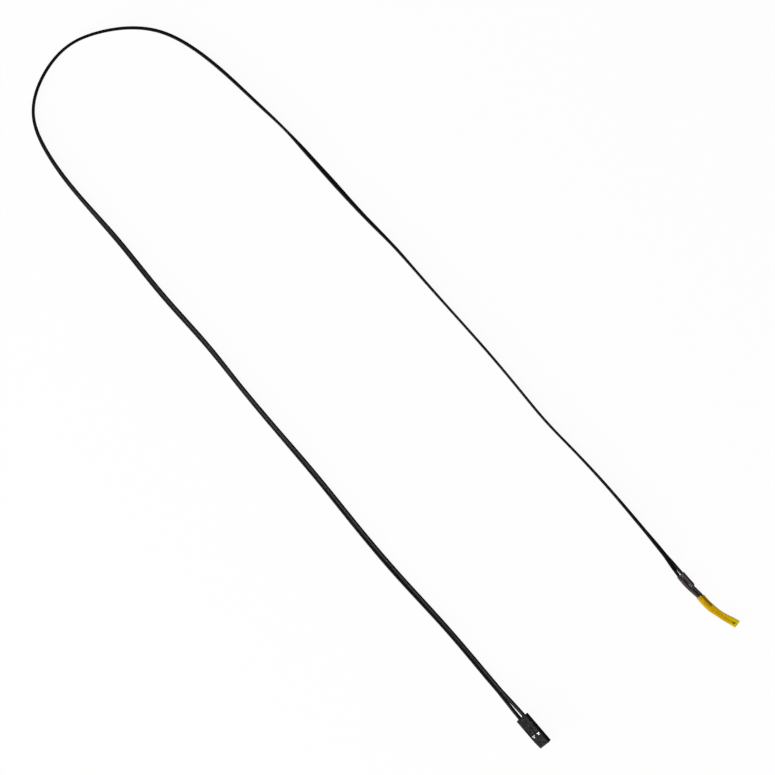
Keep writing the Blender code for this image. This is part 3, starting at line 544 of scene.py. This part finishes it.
def film_material():
    """Clear amber film: it tints what lies under it, more at its sides, with a little haze. Its middle
    gets a painted shade of the streak colour, where the wires lie under it.
    """
    made = bpy.data.materials.new("amber_film")
    made.use_nodes = True
    tree = made.node_tree
    haze = tree.nodes["Principled BSDF"]
    haze.inputs["Roughness"].default_value = FILM_HAZE_ROUGHNESS
    haze.inputs["Specular IOR Level"].default_value = 0.0
    streaks = noise(tree, texture_space(tree, FILM_STRETCH), FILM_STREAK_SCALE)
    tree.links.new(colours(tree, streaks, FILM_HAZE_DARK, FILM_HAZE_LIGHT),
                   haze.inputs["Base Color"])
    along = tree.nodes.new("ShaderNodeSeparateXYZ")
    tree.links.new(texture_space(tree, 1.0), along.inputs["Vector"])
    place = between(tree, along.outputs["Z"], 0.0, 1.0, 0.0, SLEEVE_FLARE_LENGTH)
    tint = colours(tree, place, FILM_AT_TIP, FILM_AT_REAR, 0.0, 1.0)
    streak_and_shade = colours(tree, place, FILM_STREAK_AND_SHADE_AT_TIP, FILM_STREAK_AND_SHADE, 0.0, 1.0)
    inwards = tree.nodes.new("ShaderNodeMath")
    inwards.operation = "ABSOLUTE"
    tree.links.new(along.outputs["X"], inwards.inputs[0])
    # Painted shade: the streak colour is mixed in down the film's middle, where the wires lie under it
    middle_shade = between(tree, inwards.outputs["Value"], FILM_MIDDLE_SHADE_SHARE, 0.0, 0.0,
                     FILM_MIDDLE_SHADE_REACH)
    streaked_and_shaded = mixed(tree, between(tree, streaks, 0.0, FILM_STREAK_SHARE), tint, streak_and_shade)
    streaked_and_shaded = mixed(tree, middle_shade, streaked_and_shaded, streak_and_shade)
    facing = tree.nodes.new("ShaderNodeLayerWeight")
    side = between(tree, facing.outputs["Facing"], 0.0, 1.0, FILM_SIDE_START, FILM_SIDE_END)
    clear = tree.nodes.new("ShaderNodeBsdfTransparent")
    tree.links.new(mixed(tree, side, streaked_and_shaded, FILM_AT_SIDE), clear.inputs["Color"])
    layer = tree.nodes.new("ShaderNodeMixShader")
    tree.links.new(between(tree, streaks, FILM_HAZE_LEAST, FILM_HAZE_MOST), layer.inputs["Fac"])
    tree.links.new(clear.outputs["BSDF"], layer.inputs[1])
    tree.links.new(haze.outputs["BSDF"], layer.inputs[2])
    gloss = tree.nodes.new("ShaderNodeBsdfGlossy")
    gloss.inputs["Roughness"].default_value = FILM_GLOSS_ROUGHNESS
    fresnel = tree.nodes.new("ShaderNodeFresnel")
    fresnel.inputs["IOR"].default_value = FILM_GLOSS_IOR
    ripple = noise(tree, texture_space(tree, FILM_STRETCH), FILM_RELIEF_SCALE)
    normal = relief(tree, ripple, FILM_RELIEF_DEPTH)
    tree.links.new(normal, gloss.inputs["Normal"])
    tree.links.new(normal, fresnel.inputs["Normal"])
    top = tree.nodes.new("ShaderNodeMixShader")
    tree.links.new(fresnel.outputs["Fac"], top.inputs["Fac"])
    tree.links.new(layer.outputs["Shader"], top.inputs[1])
    tree.links.new(gloss.outputs["BSDF"], top.inputs[2])
    tree.links.new(top.outputs["Shader"], tree.nodes["Material Output"].inputs["Surface"])
    return made


def make_camera():
    data = bpy.data.cameras.new("camera")
    data.sensor_width = FILM_WIDTH_MM
    data.lens = FILM_WIDTH_MM * CAMERA_HEIGHT / VIEW_WIDTH
    camera = bpy.data.objects.new("camera", data)
    camera.location = (*VIEW_MIDDLE, CAMERA_HEIGHT)
    camera.rotation_euler = (0.0, 0.0, VIEW_TURN)
    bpy.context.scene.collection.objects.link(camera)
    bpy.context.scene.camera = camera


def core_axes(stations):
    """Directions across both cores and square to them, at stations."""
    heading = np.interp(stations, STATIONS, HEADINGS)
    roll = eased(ROLL_KEYS, stations)
    left = np.stack((-np.sin(heading), np.cos(heading), 0 * heading), -1)
    up = np.array((0.0, 0.0, 1.0))
    sine = np.sin(roll)[:, None]
    cosine = np.cos(roll)[:, None]
    return left * cosine + up * sine, up * cosine - left * sine


def half_spacing(stations):
    return eased((
        (SHRINK_REAR, LANE),
        (SHRINK_REAR + SENSOR_FORK_LENGTH, CORE_SPACING / 2),
        (LEAD_END - CONNECTOR_FORK_LENGTH, CORE_SPACING / 2),
        (LEAD_END, PITCH / 2),
    ), stations)


def lead_middle(stations):
    """World points midway between both cores."""
    housing_rise = HOUSING_CENTRE_HEIGHT - CORE_DIAMETER / 2 - PITCH / 2 * math.sin(HOUSING_ROLL)
    rise = eased((
        (SHRINK_REAR, SHRINK_MIDDLE - CORE_DIAMETER / 2),
        (SHRINK_REAR + SENSOR_RISE_LENGTH, 0.0),
        (LEAD_END - CONNECTOR_RISE_LENGTH, 0.0),
        (LEAD_END, housing_rise),
    ), stations)
    lying = CORE_DIAMETER / 2 + half_spacing(stations) * np.sin(eased(ROLL_KEYS, stations))
    return on_line(stations, 0.0, lying + rise)


def core_stations(solder_front):
    """Stations of a core's rings: before the web, along it and after it."""
    fork = SHRINK_REAR + SENSOR_FORK_LENGTH
    split = LEAD_END - CONNECTOR_FORK_LENGTH
    before = steps_between(solder_front + CORE_FROM_SOLDER, fork, FORK_STEP)[:-1]
    joined = steps_between(fork, split, LEAD_STEP)
    after = steps_between(split, LEAD_END + CORE_INSERT, FORK_STEP)[1:]
    return before, joined, after


def core_sections(stations):
    """Outlines of a core with its half of the web: reach towards the other core, and height."""
    angles = turns(CORE_SIDES)
    kept = eased(((SHRINK_REAR, 0.0), (SHRINK_REAR + WEB_TRIM, 1.0), (LEAD_END, 1.0),
                  (LEAD_END + WEB_TRIM, 0.0)), stations)
    reach = np.tile(CORE_DIAMETER / 2 * np.cos(angles), (len(stations), 1))
    height = np.tile(CORE_DIAMETER / 2 * np.sin(angles), (len(stations), 1))
    for point, side in ((0, 1), (CORE_SIDES - 1, -1)):
        reach[:, point] += (CORE_SPACING / 2 - reach[:, point]) * kept
        height[:, point] += (side * WEB_THICKNESS / 2 - height[:, point]) * kept
    split = LEAD_END - CONNECTOR_FORK_LENGTH
    spread = eased(((split, 1.0), (LEAD_END - SPLIT_SPREAD_START, SPLIT_SPREAD),
                    (LEAD_END, SPLIT_SPREAD), (LEAD_END + SPLIT_SPREAD_END, 1.0)), stations)
    return reach * spread[:, None], height


def make_lead(material):
    """Both cores and the web between them, in one mesh. At both ends the web is split in two."""
    points = []
    places = []
    faces = []
    for side, start in ((1, LEFT_SOLDER_FRONT), (-1, RIGHT_SOLDER_FRONT)):
        before, joined, after = core_stations(start)
        stations = np.concatenate((before, joined, after))
        across, square = core_axes(stations)
        reach, height = core_sections(stations)
        offset = side * (half_spacing(stations)[:, None] - reach)
        ring = (lead_middle(stations)[:, None] + offset[..., None] * across[:, None]
                + height[..., None] * square[:, None])
        first = len(points)
        points.extend(ring.reshape(-1, 3))
        flat = np.broadcast_arrays(offset, height, stations[:, None])
        places.extend(np.stack(flat, -1).reshape(-1, 3))
        web = range(len(before), len(before) + len(joined) - 1)
        for row in range(len(stations) - 1):
            low = first + row * CORE_SIDES
            for i in range(CORE_SIDES - (row in web)):
                j = (i + 1) % CORE_SIDES
                faces.append((low + i, low + j, low + CORE_SIDES + j, low + CORE_SIDES + i))
        last = first + (len(stations) - 1) * CORE_SIDES
        faces.append(tuple(range(first, first + CORE_SIDES)))
        faces.append(tuple(range(last, last + CORE_SIDES)))
    return piece("twin_lead", points, faces, places, material, ("lead_core_1", "lead_core_2"))


def make_sleeve(material):
    """Pressed film tube: a stadium section with small waves on top, thin at its tip."""
    stations = steps_between(0.0, SLEEVE_LENGTH, SHORT_STEP)[:, None]
    width = sleeve_width(stations)
    height = eased(((0.0, SLEEVE_TIP_HEIGHT), (SLEEVE_PRESSED_LENGTH, SLEEVE_HEIGHT)), stations)
    skew = eased(((0.0, SLEEVE_TIP_SKEW), (SLEEVE_PRESSED_LENGTH, 0.0),
                  (SLEEVE_LENGTH - SLEEVE_PRESSED_LENGTH, 0.0),
                  (SLEEVE_LENGTH, -SLEEVE_REAR_SKEW)), stations)
    angles = turns(SLEEVE_SIDES)
    rows = []
    for wall in (0.0, SLEEVE_WALL):
        radius = (height / 2 - wall) / math.cos(math.pi / SLEEVE_SIDES)
        offset = (width - height) / 2 * np.sign(np.cos(angles)) + radius * np.cos(angles)
        wave = film_waves(stations, offset) * np.clip(np.sin(angles), 0.0, None)
        level = height / 2 + radius * np.sin(angles) + wave
        rows.append(np.stack(np.broadcast_arrays(offset, level), -1))
    slanted = stations + skew * rows[0][..., 0] / (width / 2)
    along = np.concatenate((slanted, slanted[::-1]))
    return swept("film_tube", along, np.concatenate((rows[0], rows[1][::-1])), material,
                 ("film_sleeve",), loop=True)


def film_waves(stations, offsets):
    """Small outward waves in the film, in metres."""
    swing = sum(np.sin(stations * along + offsets * across + start) for along, across, start in WAVES)
    return WAVE_HEIGHT * (0.5 + swing / (2 * len(WAVES)))


def make_shrink_tube(name, node, side, front, shape, material):
    """Shrunk tube: fullest over the joint, with rounded lips. The left one's front is slanted."""
    stations = steps_between(front, SHRINK_REAR, SHORT_STEP)
    from_end = np.minimum(stations - front, SHRINK_REAR - stations)
    outer = eased(shape, stations) * (1 - SHRINK_LIP_SHARE * np.exp(-from_end / SHRINK_LIP_LENGTH))
    heights = np.maximum(outer, SHRINK_MIDDLE)
    slant = 0.0
    if side > 0:
        slant = eased(((front, SHRINK_SLANT), (front + SHRINK_SLANT_LENGTH, 0.0)), stations)
    return tube(name, stations, joint_lane(side, stations), heights, outer, SHRINK_BORE / 2,
                material, (node,), slant)


def make_wire_tube(material):
    stations = steps_between(WIRE_TUBE_FRONT, WIRE_TUBE_REAR, SHORT_STEP)
    offsets, heights = tube_lane(stations)
    radius = eased(WIRE_TUBE_SHAPE, stations)
    return tube("right_wire_tube", stations, offsets, heights, radius, radius - WIRE_TUBE_WALL,
                material, ("wire_tube",))


def make_sensor_wire(name, node, lane, end, material):
    stations = steps_between(WIRE_END_INSET, end + SOLDER_WIRE_DEPTH, SHORT_STEP)
    offsets, heights = lane(stations)
    rows = circles(offsets, heights, SENSOR_WIRE_DIAMETER / 2, WIRE_SIDES)
    return swept(name, stations[:, None], rows, material, (node,))


def make_bead(material):
    """Glass drop around the chip."""
    turn = np.linspace(0.0, math.pi, ROUND_SIDES)[1:-1]
    stations = BEAD_INSET - BEAD_LENGTH / 2 * np.cos(turn)
    radii = BEAD_DIAMETER / 2 * np.sin(turn)
    rows = circles(BEAD_OFFSET, SLEEVE_HEIGHT / 2, radii, ROUND_SIDES)
    return swept("glass_drop", stations[:, None], rows, material, ("bead_glass",))


def dress(material, *names):
    """Gives a node of the frame its finish."""
    for name in names:
        data = NODES[name].data
        data.materials.clear()
        data.materials.append(material)


def make_floor():
    """White floor that still shows a faint shadow."""
    data = bpy.data.meshes.new("floor")
    corners = [(x * FLOOR_REACH, y * FLOOR_REACH, 0.0) for x, y in ((-1, -1), (1, -1), (1, 1), (-1, 1))]
    data.from_pydata(corners, [], [(0, 1, 2, 3)])
    floor = bpy.data.objects.new("floor", data)
    bpy.context.scene.collection.objects.link(floor)
    made = bpy.data.materials.new("white_floor")
    made.use_nodes = True
    tree = made.node_tree
    shader = tree.nodes["Principled BSDF"]
    shader.inputs["Base Color"].default_value = FLOOR_COLOUR
    shader.inputs["Roughness"].default_value = FLOOR_ROUGHNESS
    shader.inputs["Specular IOR Level"].default_value = 0.0
    white = tree.nodes.new("ShaderNodeEmission")
    mix = tree.nodes.new("ShaderNodeMixShader")
    tree.links.new(between(tree, seen_rays(tree), 0.0, FLOOR_WHITENESS, 0.0, 1.0), mix.inputs["Fac"])
    tree.links.new(shader.outputs["BSDF"], mix.inputs[1])
    tree.links.new(white.outputs["Emission"], mix.inputs[2])
    tree.links.new(mix.outputs["Shader"], tree.nodes["Material Output"].inputs["Surface"])
    data.materials.append(made)


def seen_rays(tree):
    """1 for rays that the camera sends, also by a mirror or through glass."""
    path = tree.nodes.new("ShaderNodeLightPath")
    total = path.outputs["Is Camera Ray"]
    for name in ("Is Glossy Ray", "Is Transmission Ray"):
        join = tree.nodes.new("ShaderNodeMath")
        join.operation = "MAXIMUM"
        tree.links.new(total, join.inputs[0])
        tree.links.new(path.outputs[name], join.inputs[1])
        total = join.outputs["Value"]
    return total


def make_light():
    world = bpy.data.worlds.new("studio")
    bpy.context.scene.world = world
    world.use_nodes = True
    tree = world.node_tree
    background = tree.nodes["Background"]
    tree.links.new(between(tree, seen_rays(tree), SKY_LEVEL, 1.0, 0.0, 1.0),
                   background.inputs["Strength"])
    background.inputs["Color"].default_value = WHITE
    for name, place, size, power in LAMPS:
        data = bpy.data.lights.new(name, "AREA")
        data.size = size
        data.energy = power
        lamp = bpy.data.objects.new(name, data)
        lamp.location = place
        aim = np.array((*VIEW_MIDDLE, 0.0)) - np.array(place)
        lamp.rotation_euler = beam_turn(aim)
        bpy.context.scene.collection.objects.link(lamp)


def beam_turn(aim):
    """Rotation that turns a lamp's beam along a direction."""
    flat = math.hypot(aim[0], aim[1])
    return (math.atan2(flat, -aim[2]), 0.0, math.atan2(-aim[0], aim[1]))


def main():
    make_camera()
    insulation = surface("black_insulation")
    shrunk = surface("black_shrink")
    tin = surface("bright_tin")

    lead = make_lead(insulation)
    path = lead_middle(np.concatenate(core_stations(LEFT_SOLDER_FRONT)))
    exit_point = lead_middle(np.array([SHRINK_REAR]))[0]

    make_sleeve(film_material())
    make_bead(surface("dark_glass"))
    make_wire_tube(shrunk)
    for name, side, front, shape in (("left", 1, LEFT_SHRINK_FRONT, LEFT_SHRINK_SHAPE),
                                     ("right", -1, RIGHT_SHRINK_FRONT, RIGHT_SHRINK_SHAPE)):
        shrink = make_shrink_tube(name + "_shrink", "shrink_tube_" + name, side, front, shape,
                                  shrunk)
    for name, lane, end in (("left", left_wire_lane, LEFT_SOLDER_FRONT),
                            ("right", right_wire_lane, RIGHT_SOLDER_FRONT)):
        wire = make_sensor_wire(name + "_sensor_wire", "sensor_wire_" + name, lane, end, tin)
    dress(surface("black_housing"), "connector_housing")
    dress(tin, "crimp_terminal_1", "crimp_terminal_2")
    dress(surface("solder"), "solder_joint_left", "solder_joint_right")
    dress(surface("copper_strands"), "splice_conductor_left", "splice_conductor_right")
    dress(surface("dull_copper"), "crimp_conductor_1", "crimp_conductor_2")
    dress(surface("chip_ceramic"), "thermistor_chip")

    make_floor()
    make_light()
    bpy.context.scene.view_settings.view_transform = "Standard"


main()
